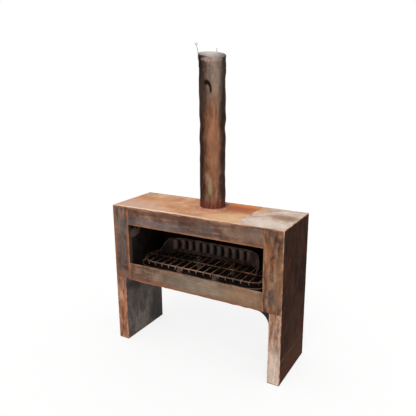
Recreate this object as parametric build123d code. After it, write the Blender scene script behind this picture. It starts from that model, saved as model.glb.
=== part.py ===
from build123d import *
import math
import os

# Weathering-steel garden fireplace: a shallow box with a wide front opening on two panel legs,
# a lift-out fire pan with a rod grate and a fluted fireback, and a lift-off round chimney.
# Millimetres. Origin: middle of the footprint on the ground. X across the front, -Y the front, +Z up.

# ---- driving sizes ------------------------------------------------------------------------------
body_width = 1100.0
body_depth = 380.0
body_height = 885.0
sheet = 3.0

frame_border = 110.0        # width of the face frame around the fire opening
opening_height = 245.0
leg_width = 70.0
leg_bend_radius = 80.0      # inner corner between a leg and the underside
skirt_height = 140.0        # height of the seam near the foot of each end panel
top_seam_x = 275.0          # front-to-back seam in the top

floor_drop = 80.0           # firebox floor below the lower lip of the opening
bearer_width = 30.0
bearer_count = 3

pan_end_gap = 6.0           # fire pan to each cheek of the firebox
pan_front_gap = 37.0        # fire pan to the face frame
pan_back_gap = 47.0         # fire pan to the back panel
pan_height = 65.0
pan_corner = 120.0
pan_sheet = 2.5

grate_end_inset = 10.0      # frame rod's centre line to the pan wall, at the ends
grate_side_inset = 27.0     # the same, at front and back
rod_diameter = 8.0
bar_diameter = 6.0
bar_pitch = 48.0
last_bar_gap = 30.0         # at least, from the end of the frame to the last bar
hook_radius = 11.0          # bend of the curl on the front end of each bar
hook_turn = 150.0           # degrees
foot_size = 30.0
foot_height = 81.0
foot_bay = 2.5              # bar pitches from the middle to each foot, so it stands between two bars

fireback_end_gap = 81.0     # outside of each arm to the end of the grate frame
fireback_back_gap = 18.0    # its front face to the rear rod of the grate frame
fireback_bend_radius = 133.0
fireback_height = 93.0
fireback_arm_height = 29.0
fireback_thickness = 5.0
flute_pitch = 51.0
flute_width = 30.0
flute_height = 56.0
flute_depth = 4.0
flute_top_gap = 12.0
shoulder_start = 46.0       # degrees round the bend where the top edge begins to fall
shoulder_end = 85.0

flue_back_gap = 121.0       # chimney axis to the back of the body
chimney_diameter = 151.0
chimney_length = 861.0
chimney_wall = 2.0
socket_length = 65.0        # swaged mouth that takes a rain cap or another length of pipe
socket_swell = 1.5          # radial
socket_taper = 6.0
spigot_clearance = 0.5      # radial, pipe over spigot
spigot_rise = 60.0          # above the top panel
spigot_drop = 20.0          # below the top panel
spigot_wall = 2.0
collar_width = 27.0
collar_height = 4.0
weld_gap = 0.3              # between round faces that a weld joins

clip_wire = 4.0
clip_bite = 0.5             # how far a clip's leg is welded into the pipe's outside
clip_leg = 30.0
clip_tall = 60.0
clip_short = 35.0
clip_lean = 11.0
eyelet_radius = 4.0
clip_left_angle = 210.0     # degrees round the chimney from +X
clip_back_angle = 100.0

# ---- derived sizes ------------------------------------------------------------------------------
half_w = body_width / 2
half_d = body_depth / 2
inner_half_w = half_w - sheet
inner_half_d = half_d - sheet
top_under = body_height - sheet
opening_half_w = half_w - frame_border
opening_top = body_height - frame_border
opening_bottom = opening_top - opening_height
underside = opening_bottom - frame_border
leg_inner_x = half_w - leg_width
floor_top = opening_bottom - floor_drop

pan_half_l = opening_half_w - pan_end_gap
pan_depth = 2 * inner_half_d - pan_front_gap - pan_back_gap
pan_mid_y = (pan_front_gap - pan_back_gap) / 2
pan_corner_radius = min(pan_corner, pan_depth / 2 - pan_sheet)

grate_half_l = pan_half_l - pan_sheet - grate_end_inset
grate_half_d = pan_depth / 2 - pan_sheet - grate_side_inset
grate_corner = min(pan_corner_radius - pan_sheet - grate_end_inset, grate_half_d - rod_diameter)
bars_each_side = math.floor((grate_half_l - last_bar_gap) / bar_pitch)
foot_x = foot_bay * bar_pitch
foot_base = floor_top + pan_sheet
rod_z = foot_base + foot_height + rod_diameter / 2
bar_z = rod_z + rod_diameter / 2 + bar_diameter / 2
grate_top = bar_z + bar_diameter / 2

fireback_face_y = pan_mid_y + grate_half_d - fireback_back_gap
fireback_half_flat = grate_half_l - fireback_end_gap - fireback_bend_radius - fireback_thickness
flute_count = math.floor((2 * fireback_half_flat - flute_width) / flute_pitch) + 1

flue_y = half_d - flue_back_gap
chimney_r = chimney_diameter / 2
chimney_inner_r = chimney_r - chimney_wall
spigot_r = chimney_inner_r - spigot_clearance
chimney_foot = body_height + collar_height
chimney_top = chimney_foot + chimney_length


def block(x0, x1, y0, y1, z0, z1):
    """A box between two corners."""
    size = (x1 - x0, y1 - y0, z1 - z0)
    return Pos((x0 + x1) / 2, (y0 + y1) / 2, (z0 + z1) / 2) * Box(*size)


def tube(outer_r, inner_r, z0, z1):
    """An upright ring on the chimney's axis."""
    ring = Cylinder(outer_r, z1 - z0) - Cylinder(inner_r, z1 - z0)
    return Pos(0, flue_y, (z0 + z1) / 2) * ring


def sided(side, x0, x1):
    """An X span measured out from the middle, on the left (-1) or right (+1)."""
    return min(side * x0, side * x1), max(side * x0, side * x1)


# ---- casing -------------------------------------------------------------------------------------
def top_panels():
    """Two butt-welded plates; the left one has the flue hole."""
    left = block(-half_w, top_seam_x, -half_d, half_d, top_under, body_height)
    hole = Pos(0, flue_y, body_height) * Cylinder(spigot_r + weld_gap, 4 * sheet)
    right = block(top_seam_x, half_w, -half_d, half_d, top_under, body_height)
    return {"top_panel_left": left - hole, "top_panel_right": right}


def front_frame():
    """Two stiles and two rails, butt-welded flush, framing the fire opening."""
    y = (-half_d, -inner_half_d)
    return {
        "front_stile_left": block(-inner_half_w, -opening_half_w, *y, underside, top_under),
        "front_stile_right": block(opening_half_w, inner_half_w, *y, underside, top_under),
        "front_top_rail": block(-opening_half_w, opening_half_w, *y, opening_top, top_under),
        "front_bottom_rail": block(-opening_half_w, opening_half_w, *y, underside, opening_bottom),
    }


def end_panels(side):
    """The tall end plate, and the skirt under its seam."""
    x = sided(side, inner_half_w, half_w)
    panel = block(*x, -half_d, half_d, skirt_height, top_under)
    skirt = block(*x, -half_d, half_d, sheet, skirt_height)
    return panel, skirt


def leg_strip(side, front):
    """The front or back face of one leg."""
    x = sided(side, leg_inner_x, inner_half_w)
    y = (-half_d, -inner_half_d) if front else (inner_half_d, half_d)
    return block(*x, *y, sheet, underside)


def foot_plate(side):
    """Closes the bottom of one leg; the fireplace stands on it."""
    x = sided(side, leg_inner_x, half_w)
    return block(*x, -half_d, half_d, 0, sheet)


def leg_liner(side):
    """The leg's inner face, bent over at its head to meet the underside."""
    r = leg_bend_radius
    centre_x = leg_inner_x - r
    centre_z = underside - r
    upright = block(leg_inner_x, leg_inner_x + sheet, -inner_half_d, inner_half_d, sheet, centre_z)
    disc = Cylinder(r + sheet, 2 * inner_half_d) - Cylinder(r, 2 * inner_half_d)
    bend = Pos(centre_x, 0, centre_z) * Rot(90, 0, 0) * disc
    corner = block(centre_x, leg_inner_x + sheet, -half_d, half_d, centre_z, underside + sheet)
    liner = upright + (bend & corner)
    return liner if side > 0 else mirror(liner, about=Plane.YZ)


def casing():
    parts = {}
    parts.update(top_panels())
    parts.update(front_frame())
    parts["back_panel"] = block(-inner_half_w, inner_half_w, inner_half_d, half_d, underside, top_under)
    for side, name in ((-1, "left"), (1, "right")):
        panel, skirt = end_panels(side)
        parts["side_panel_" + name] = panel
        parts["side_skirt_" + name] = skirt
        parts["leg_front_" + name] = leg_strip(side, True)
        parts["leg_back_" + name] = leg_strip(side, False)
        parts["leg_liner_" + name] = leg_liner(side)
        parts["foot_plate_" + name] = foot_plate(side)
    reach = leg_inner_x - leg_bend_radius
    parts["underside_panel"] = block(-reach, reach, -inner_half_d, inner_half_d, underside, underside + sheet)
    return parts


# ---- firebox ------------------------------------------------------------------------------------
def bearers():
    """Channels that hold the firebox floor clear of the underside."""
    z0 = underside + sheet
    z1 = floor_top - sheet
    pitch = 2 * opening_half_w / bearer_count
    channels = []
    for i in range(bearer_count):
        x = (i - (bearer_count - 1) / 2) * pitch
        outer = block(x - bearer_width / 2, x + bearer_width / 2, -inner_half_d, inner_half_d, z0, z1)
        inner = block(x - bearer_width / 2 + sheet, x + bearer_width / 2 - sheet,
                      -inner_half_d, inner_half_d, z0, z1 - sheet)
        channels.append(outer - inner)
    return Compound(channels)


def firebox():
    parts = {"floor_bearers": bearers()}
    wall = opening_half_w + sheet
    parts["firebox_floor"] = block(-wall, wall, -inner_half_d, inner_half_d, floor_top - sheet, floor_top)
    for side, name in ((-1, "left"), (1, "right")):
        x = sided(side, opening_half_w, wall)
        parts["firebox_cheek_" + name] = block(*x, -inner_half_d, inner_half_d, floor_top, top_under)
    return parts


# ---- fire pan and grate -------------------------------------------------------------------------
def fire_pan():
    """A round-cornered tray."""
    def slab(inset, z0, z1):
        outline = RectangleRounded(2 * (pan_half_l - inset), pan_depth - 2 * inset, pan_corner_radius - inset)
        return Pos(0, pan_mid_y, z0) * extrude(outline, z1 - z0)
    outer = slab(0, floor_top, floor_top + pan_height)
    return outer - slab(pan_sheet, floor_top + pan_sheet, floor_top + pan_height + pan_sheet)


def outline_y(x):
    """Half depth of the grate frame's centre line at x, round its corners."""
    past = abs(x) - (grate_half_l - grate_corner)
    if past <= 0:
        return grate_half_d
    return grate_half_d - grate_corner + math.sqrt(grate_corner ** 2 - past ** 2)


def grate_frame():
    """The round-cornered rod under the bars' ends."""
    path = RectangleRounded(2 * grate_half_l, 2 * grate_half_d, grate_corner).wire()
    section = Plane(origin=(0, -grate_half_d, 0), z_dir=(1, 0, 0)) * Circle(rod_diameter / 2)
    return Pos(0, pan_mid_y, rod_z) * sweep(section, path=path)


def hooked_bar(x):
    """One bar, whose front end runs past the frame rod and curls down round it."""
    back = pan_mid_y + outline_y(x) + rod_diameter / 2
    front = pan_mid_y - outline_y(x) - rod_diameter / 2
    run = Line((x, back, bar_z), (x, front, bar_z))
    start = Plane(origin=(x, front, bar_z), x_dir=(0, -1, 0), z_dir=(-1, 0, 0))
    arc = CenterArc((0, 0), hook_radius, 90, -hook_turn)
    curl = start * Pos(0, -hook_radius, 0) * arc
    section = Plane(origin=(x, back, bar_z), z_dir=(0, -1, 0)) * Circle(bar_diameter / 2)
    return sweep(section, path=Wire([run, curl.edge()]))


def grate_bars():
    bars = [hooked_bar(i * bar_pitch) for i in range(-bars_each_side, bars_each_side + 1)]
    return Compound(bars)


def cross_rod():
    """The rod across the middle, between the ends of the frame."""
    length = 2 * grate_half_l - rod_diameter
    return Pos(0, pan_mid_y, rod_z) * Rot(0, 90, 0) * Cylinder(rod_diameter / 2, length)


def grate_feet():
    """Square posts that stand in the pan under the frame rod."""
    feet = []
    for sx in (-1, 1):
        for sy in (-1, 1):
            at = Pos(sx * foot_x, pan_mid_y + sy * grate_half_d, foot_base + foot_height / 2)
            feet.append(at * Box(foot_size, foot_size, foot_height))
    return Compound(feet)


def fireback():
    """A plate that stands on the grate and wraps forward at both ends, with pressed flutes."""
    r = fireback_bend_radius
    t = fireback_thickness
    half = fireback_half_flat
    mid = fireback_face_y - r
    top = grate_top + fireback_height
    wall = block(-half, half, fireback_face_y, fireback_face_y + t, grate_top, top)
    ring = Cylinder(r + t, fireback_height) - Cylinder(r, fireback_height)
    quarter = block(half, half + r + t, mid, fireback_face_y + t, grate_top, top)
    arm = (Pos(half, mid, (grate_top + top) / 2) * ring) & quarter
    arm -= shoulder_cut(half, mid, top)
    plate = wall + arm + mirror(arm, about=Plane.YZ)
    for i in range(flute_count):
        x = (i - (flute_count - 1) / 2) * flute_pitch
        z = top - flute_top_gap - flute_height / 2
        face = Plane(origin=(x, fireback_face_y, z), x_dir=(1, 0, 0), z_dir=(0, -1, 0))
        plate += face * extrude(SlotOverall(flute_height, flute_width, rotation=90), flute_depth)
    return plate


def shoulder_cut(half, mid, top):
    """What is cut from the top of one arm, so that its edge falls smoothly towards its front end."""
    r = fireback_bend_radius + fireback_thickness
    drop = fireback_height - fireback_arm_height
    y_start = mid + fireback_bend_radius * math.cos(math.radians(shoulder_start))
    y_end = mid + fireback_bend_radius * math.cos(math.radians(shoulder_end))
    edge = Spline([(y_start, top), (y_end, top - drop)], tangents=[(-1, 0), (-1, 0)])
    rest = Polyline((y_end, top - drop), (mid - 1, top - drop), (mid - 1, top + 1), (y_start, top + 1),
                    (y_start, top))
    face = Plane.YZ * make_face([edge, *rest.edges()])
    return Pos(half + 1, 0, 0) * extrude(face, r + fireback_thickness, dir=(1, 0, 0))


def fire():
    return {
        "fire_pan": fire_pan(),
        "grate_frame": grate_frame(),
        "grate_bars": grate_bars(),
        "grate_cross_rod": cross_rod(),
        "grate_feet": grate_feet(),
        "fireback": fireback(),
    }


# ---- flue and chimney ---------------------------------------------------------------------------
def clip(angle, height, lean, eyelet):
    """A wire welded up the outside of the pipe's rim, for a rain cap or spark guard to hook on."""
    at_r = chimney_r + socket_swell + clip_wire / 2 - clip_bite
    rim = (at_r, 0, chimney_top)
    tip = (at_r + lean, 0, chimney_top + height - (2 * eyelet_radius if eyelet else 0))
    straight = Pos(at_r, 0, chimney_top - clip_leg / 2) * Cylinder(clip_wire / 2, clip_leg)
    upper = sweep(Plane(origin=rim, z_dir=Vector(*tip) - Vector(*rim)) * Circle(clip_wire / 2),
                  path=Line(rim, tip))
    wire = straight + upper + Pos(*rim) * Sphere(clip_wire / 2)
    if eyelet:
        ring = Torus(eyelet_radius, clip_wire / 2)
        wire += Pos(tip[0], 0, tip[2] + eyelet_radius) * Rot(90, 0, 0) * ring
    return Pos(0, flue_y, 0) * Rot(0, 0, angle) * wire


def pipe():
    """The chimney, with a swaged mouth at its head."""
    inner = chimney_inner_r
    outer = chimney_r
    neck = chimney_top - socket_length
    profile = Polyline(
        (inner, chimney_foot), (outer, chimney_foot), (outer, neck - socket_taper),
        (outer + socket_swell, neck), (outer + socket_swell, chimney_top),
        (inner + socket_swell, chimney_top), (inner + socket_swell, neck),
        (inner, neck - socket_taper), close=True)
    return Pos(0, flue_y, 0) * revolve(Plane.XZ * make_face(profile), Axis.Z)


def chimney():
    collar = tube(spigot_r + weld_gap + collar_width, spigot_r + weld_gap, body_height, chimney_foot)
    lip = collar.edges().filter_by(GeomType.CIRCLE).group_by(SortBy.RADIUS)[-1].sort_by(Axis.Z)[-1]
    return {
        "flue_collar": fillet(lip, collar_height * 0.6),
        "flue_spigot": tube(spigot_r, spigot_r - spigot_wall, top_under - spigot_drop, body_height + spigot_rise),
        "chimney_pipe": pipe(),
        "cap_clip_left": clip(clip_left_angle, clip_tall, clip_lean, True),
        "cap_clip_back": clip(clip_back_angle, clip_short, 0, False),
    }


def main():
    os.makedirs("parts", exist_ok=True)
    parts = {}
    for group in (casing(), firebox(), fire(), chimney()):
        parts.update(group)
    for name, shape in parts.items():
        export_step(shape, f"parts/{name}.step")
    print(len(parts), "nodes")


main()
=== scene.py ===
import math
import random
from collections import namedtuple

import bmesh
import bpy
from mathutils import Matrix, Vector, noise


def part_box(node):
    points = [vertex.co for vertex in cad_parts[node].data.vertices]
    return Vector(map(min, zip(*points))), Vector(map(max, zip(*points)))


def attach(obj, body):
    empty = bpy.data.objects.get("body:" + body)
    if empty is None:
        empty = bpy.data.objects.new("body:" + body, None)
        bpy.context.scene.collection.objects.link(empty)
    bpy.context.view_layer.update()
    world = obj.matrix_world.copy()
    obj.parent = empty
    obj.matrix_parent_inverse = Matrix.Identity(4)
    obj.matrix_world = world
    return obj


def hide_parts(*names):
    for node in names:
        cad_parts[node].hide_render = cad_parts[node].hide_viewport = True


# Looks of the weathering-steel garden fireplace. Metres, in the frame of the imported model: X across the
# front, -Y the front, +Z up, origin in the middle of the footprint on the ground.

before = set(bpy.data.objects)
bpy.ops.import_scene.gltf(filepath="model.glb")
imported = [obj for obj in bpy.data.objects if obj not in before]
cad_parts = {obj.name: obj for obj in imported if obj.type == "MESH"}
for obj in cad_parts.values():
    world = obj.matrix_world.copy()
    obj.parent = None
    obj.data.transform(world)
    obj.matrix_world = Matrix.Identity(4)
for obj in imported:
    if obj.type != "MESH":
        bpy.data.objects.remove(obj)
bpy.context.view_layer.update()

MM = 0.001

# ---- camera and light ---------------------------------------------------------------------------
CAMERA_AT = (1.354, -2.355, 1.6153)
CAMERA_YAW = -29.79         # degrees from +Y, towards -X
CAMERA_PITCH = -14.95
CAMERA_ROLL = -0.38
CAMERA_LENS = 41.7          # mm on a 36 mm sensor
SKY_LOW = 0.06              # the dome's strength at the horizon
SKY_HIGH = 1.5              # and overhead
KEY_FROM = Vector((0.55, -1.9, 2.4))
KEY_STRENGTH = 1.4
KEY_SPREAD = 35.0           # degrees
SHADOW_FADE = 0.78          # how far the floor's soft shadow is washed out towards the surround

# ---- places worked out from the frame -----------------------------------------------------------
X, Y, Z = 0, 1, 2
LEFT_AND_RIGHT = ((-1, "left"), (1, "right"))


def span(node, axis):
    low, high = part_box(node)
    return low[axis], high[axis]


OUTER_X = span("side_panel_right", X)[1]
FRONT_Y = span("front_top_rail", Y)[0]
BACK_Y = span("back_panel", Y)[1]
TOP_Z = span("top_panel_left", Z)[1]
SHEET = TOP_Z - span("top_panel_left", Z)[0]
OPENING_X = span("front_top_rail", X)[1]
OPENING_TOP = span("front_top_rail", Z)[0]
OPENING_BOTTOM = span("front_bottom_rail", Z)[1]
UNDERSIDE_Z = span("front_bottom_rail", Z)[0]
LEG_IN_X = span("leg_front_right", X)[0]
SKIRT_Z = span("side_skirt_right", Z)[1]
TOP_SEAM_X = span("top_panel_right", X)[0]
PIPE_LOW, PIPE_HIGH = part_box("chimney_pipe")
PIPE_LENGTH = PIPE_HIGH.z - PIPE_LOW.z
PIPE_R = (PIPE_HIGH.x - PIPE_LOW.x) / 2
FLUE = Vector(((PIPE_LOW.x + PIPE_HIGH.x) / 2, (PIPE_LOW.y + PIPE_HIGH.y) / 2, 0))
COLLAR_R = (span("flue_collar", X)[1] - span("flue_collar", X)[0]) / 2
SPIGOT_R = span("flue_spigot", X)[1] + 0.3 * MM     # with a hair's clearance


# ---- mesh helpers -------------------------------------------------------------------------------
SEED_STEPS = (7.31, 3.17, 5.71)     # these keep the noises of different seeds apart


def wobble(point, size, seed):
    """Smooth noise from -1 to 1 whose lumps are about `size` metres across."""
    return noise.noise(Vector(point) / size + Vector([seed * step for step in SEED_STEPS]))


def smoothstep(t):
    t = max(0.0, min(1.0, t))
    return t * t * (3 - 2 * t)


def around(count):
    """The angles of `count` equal steps round a circle."""
    return [2 * math.pi * k / count for k in range(count)]


def bridge(bm, rings, closed=False):
    """Skins each ring of vertices to the next, and the last to the first if closed."""
    for first, second in zip(rings, rings[1:] + (rings[:1] if closed else [])):
        for k in range(len(first)):
            bm.faces.new((first[k - 1], first[k], second[k], second[k - 1]))


def fill_grid(bm, grid):
    """Faces between the rows and columns of a grid of vertices."""
    for row, next_row in zip(grid, grid[1:]):
        for j in range(len(row) - 1):
            bm.faces.new((row[j], next_row[j], next_row[j + 1], row[j + 1]))


def border(grid):
    """What lies round a grid's edge, in order."""
    return [row[0] for row in grid] + grid[-1][1:] + [row[-1] for row in grid[-2::-1]] + grid[0][-2:0:-1]


def fill_sheet(bm, front, back):
    """A closed sheet between two grids of vertices."""
    fill_grid(bm, front)
    fill_grid(bm, back)
    bridge(bm, [border(front), border(back)])


def bare_object(name, bm):
    """An object of this mesh, with nothing set on it."""
    mesh = bpy.data.meshes.new(name)
    bm.to_mesh(mesh)
    bm.free()
    obj = bpy.data.objects.new(name, mesh)
    bpy.context.scene.collection.objects.link(obj)
    return obj


def make_object(name, bm, material, rims=None, painted_shading_values=None, sharp=None):
    """A smooth-shaded object of this mesh, in which edges over `sharp` degrees stay crisp. "rim" says how near each
    vertex is to a cut edge. "hollow" says how much painted shade the vertex takes, or below 0 how much painted
    highlight."""
    bmesh.ops.recalc_face_normals(bm, faces=bm.faces)
    obj = bare_object(name, bm)
    mesh = obj.data
    mesh.polygons.foreach_set("use_smooth", [True] * len(mesh.polygons))
    attribute = mesh.attributes.new("rim", "FLOAT", "POINT")
    if rims is not None:
        attribute.data.foreach_set("value", rims)
    if painted_shading_values is not None:
        mesh.attributes.new("painted_shading", "FLOAT", "POINT").data.foreach_set("value", painted_shading_values)
    if sharp is not None:
        mesh.set_sharp_from_angle(angle=math.radians(sharp))
    mesh.materials.append(MATERIALS[material])
    return obj


def settle(obj, body, slot, *nodes):
    """Rides the piece on its body, and hides the CAD nodes that it stands in for."""
    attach(obj, body)
    if nodes:
        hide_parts(*nodes)


def dress(node, material, round_off):
    """Gives a CAD node its material and softened edges."""
    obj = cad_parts[node]
    obj.data.materials.clear()
    obj.data.materials.append(MATERIALS[material])
    bevel = obj.modifiers.new("soft_edges", "BEVEL")
    bevel.width = round_off
    bevel.segments = 2
    bevel.limit_method = "ANGLE"
    bevel.angle_limit = math.radians(40)
    bevel.harden_normals = False


def grid_lines(low, high, step):
    """Positions across a plate, close together near both edges."""
    edge = [0.0, 2.5 * MM, 6 * MM, 12 * MM, 20 * MM]
    near = [e for e in edge if e <= (high - low) / 2.2]
    inner = high - low - 2 * near[-1]
    count = max(1, round(inner / step))
    middle = [low + near[-1] + inner * i / count for i in range(1, count)]
    return [low + e for e in near] + middle + [high - e for e in reversed(near)]


PLATE_ROUND = 1.1 * MM      # a cut edge's rounding
RIM_REACH = 9 * MM          # how far the worn look reaches in from an edge
RAGGED_REACH = 20 * MM      # how far in an edge's wandering is felt
FLAT_MARGIN = 50 * MM       # a plate's warp fades out over this near its edges


def plate(name, node, material, step=0.022, warp=0.7 * MM, ragged=None, seed=0.0,
          rims_on=("u0", "u1", "v0", "v1")):
    """A sheet of steel where the node is: rounded edges, a slightly hand-worked surface, and cut edges that
    wander by `ragged` {side: metres}. The sides in rims_on look worn. u and v are the two long axes, n the
    thin one."""
    low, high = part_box(node)
    size = high - low
    n = min((X, Y, Z), key=lambda axis: size[axis])
    u, v = [axis for axis in (X, Y, Z) if axis != n]
    us = grid_lines(low[u], high[u], step)
    vs = grid_lines(low[v], high[v], step)
    bm = bmesh.new()
    rims = []

    def gaps(a, b):
        """How far the grid point (a, b) is from each side."""
        return {"u0": a - low[u], "u1": high[u] - a, "v0": b - low[v], "v1": high[v] - b}

    def shifted(a, b):
        """Where the grid point (a, b) goes once the ragged edges have wandered."""
        out = [a, b]
        for side, amount in (ragged or {}).items():
            axis = "uv".index(side[0])
            along = ((b, a)[axis], seed, 0)
            fade = max(0.0, 1 - gaps(a, b)[side] / RAGGED_REACH)
            wander = wobble(along, 0.035, 3.3 + seed) + 0.6 * wobble(along, 0.012, 5.1 + seed)
            out[axis] += fade * amount * wander * (-1 if side[1] == "0" else 1)
        return out

    def vert(a, b, depth, inset):
        """A vertex at grid point (a, b): depth 0 is the low face, 1 the high one; inset pulls the border in."""
        point = Vector((0, 0, 0))
        point[u], point[v] = shifted(a, b)
        if inset:
            point[u] += PLATE_ROUND * ((a == us[0]) - (a == us[-1]))
            point[v] += PLATE_ROUND * ((b == vs[0]) - (b == vs[-1]))
        point[n] = low[n] + depth * size[n]
        gap = gaps(a, b)
        point[n] += warp * wobble(point, 0.16, seed + n) * smoothstep(min(gap.values()) / FLAT_MARGIN)
        rims.append(max(0.0, 1 - min(gap[side] for side in rims_on) / RIM_REACH))
        return bm.verts.new(point)

    low_face, high_face = ([[vert(a, b, depth, True) for b in vs] for a in us] for depth in (0.0, 1.0))
    soft = min(PLATE_ROUND / size[n], 0.45)
    edge = border([[(a, b) for b in vs] for a in us])
    waists = [[vert(a, b, depth, False) for a, b in edge] for depth in (soft, 1 - soft)]
    fill_grid(bm, low_face)
    fill_grid(bm, high_face)
    bridge(bm, [border(low_face), *waists, border(high_face)])
    return make_object(name, bm, material, rims)


def frames_along(points, closed=False):
    """A tangent and two normals at each point, turned as little as possible from one to the next."""
    count = len(points)
    tangents = []
    for i in range(count):
        before = points[(i - 1) % count] if closed or i > 0 else points[i]
        after = points[(i + 1) % count] if closed or i < count - 1 else points[i]
        tangents.append((after - before).normalized())
    side = tangents[0].orthogonal().normalized()
    frames = []
    for tangent in tangents:
        side = (side - side.dot(tangent) * tangent).normalized()
        frames.append((tangent, side, tangent.cross(side)))
    return frames


def skin(bm, rings, closed):
    """A tube through these rings, with caps on its ends unless it is closed on itself."""
    bridge(bm, rings, closed)
    if not closed:
        bm.faces.new(rings[0])
        bm.faces.new(rings[-1])


def sweep(bm, points, radius, sides=10, closed=False):
    """Adds a round bar along points to bm. radius(i) gives its size at each point."""
    rings = []
    for i, (point, (_, side, up)) in enumerate(zip(points, frames_along(points, closed))):
        r = radius(i)
        rings.append([bm.verts.new(point + r * (math.cos(a) * side + math.sin(a) * up)) for a in around(sides)])
    skin(bm, rings, closed)


def resample(points, step, closed=False):
    """Points every `step` metres or so along straight runs between these."""
    points = [Vector(p) for p in points]
    ends = points[1:] + ([points[0]] if closed else [])
    out = []
    for a, b in zip(points, ends):
        count = max(1, round((b - a).length / step))
        out += [a.lerp(b, i / count) for i in range(count)]
    if not closed:
        out.append(points[-1])
    return out


RIPPLE = 4.5 * MM
BEAD_SIDES = 6
BEAD_BURIED = 0.4 * MM


def weld_bead(name, runs, size, out, material, body, slot, seed=1.0, closed=False):
    """Weld metal laid along each run of points: a low bead with overlapping ripples. size is its width, and how
    far it stands proud of the surface in direction `out`."""
    bm = bmesh.new()
    width, height = size
    out = Vector(out).normalized()
    for number, run in enumerate(runs):
        points = resample(run, RIPPLE / 3, closed)
        rings = []
        travelled = 0.0
        for i, (point, (tangent, _, _)) in enumerate(zip(points, frames_along(points, closed))):
            if i:
                travelled += (point - points[i - 1]).length
            swell = 0.82 + 0.25 * (travelled / RIPPLE % 1.0) + 0.22 * wobble(point, 0.02, seed + number)
            side = tangent.cross(out).normalized()
            centre = point + side * width * 0.22 * wobble(point, 0.03, seed + 9 + number)
            ring = []
            for k in range(BEAD_SIDES + 1):
                a = math.pi * k / BEAD_SIDES
                across = 0.5 * width * swell * math.cos(a)
                proud = height * swell * math.sin(a) - (BEAD_BURIED if k in (0, BEAD_SIDES) else 0)
                ring.append(bm.verts.new(centre + side * across + out * proud))
            rings.append(ring)
        skin(bm, rings, closed)
    settle(make_object(name, bm, material), body, slot)


# ---- material helpers ---------------------------------------------------------------------------
class Nodes:
    """A small builder for a node tree."""

    def __init__(self, tree):
        self.tree = tree

    def node(self, kind, **settings):
        made = self.tree.nodes.new(kind)
        for key, value in settings.items():
            setattr(made, key, value)
        return made

    def link(self, source, target):
        self.tree.links.new(source, target)

    def put(self, socket, value):
        """Sets a socket to a number or colour, or links another socket to it."""
        if isinstance(value, bpy.types.NodeSocket):
            self.link(value, socket)
        else:
            socket.default_value = value

    def math(self, operation, a, b=0.0, c=0.0):
        made = self.node("ShaderNodeMath", operation=operation)
        for socket, value in zip(made.inputs, (a, b, c)):
            self.put(socket, value)
        return made.outputs[0]

    def times(self, a, b):
        return self.math("MULTIPLY", a, b)

    def plus(self, a, b):
        return self.math("ADD", a, b)

    def between(self, value, low, high, to_low=0.0, to_high=1.0):
        made = self.node("ShaderNodeMapRange", interpolation_type="SMOOTHSTEP")
        for key, number in (("From Min", low), ("From Max", high), ("To Min", to_low), ("To Max", to_high)):
            made.inputs[key].default_value = number
        self.put(made.inputs["Value"], value)
        return made.outputs["Result"]


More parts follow.
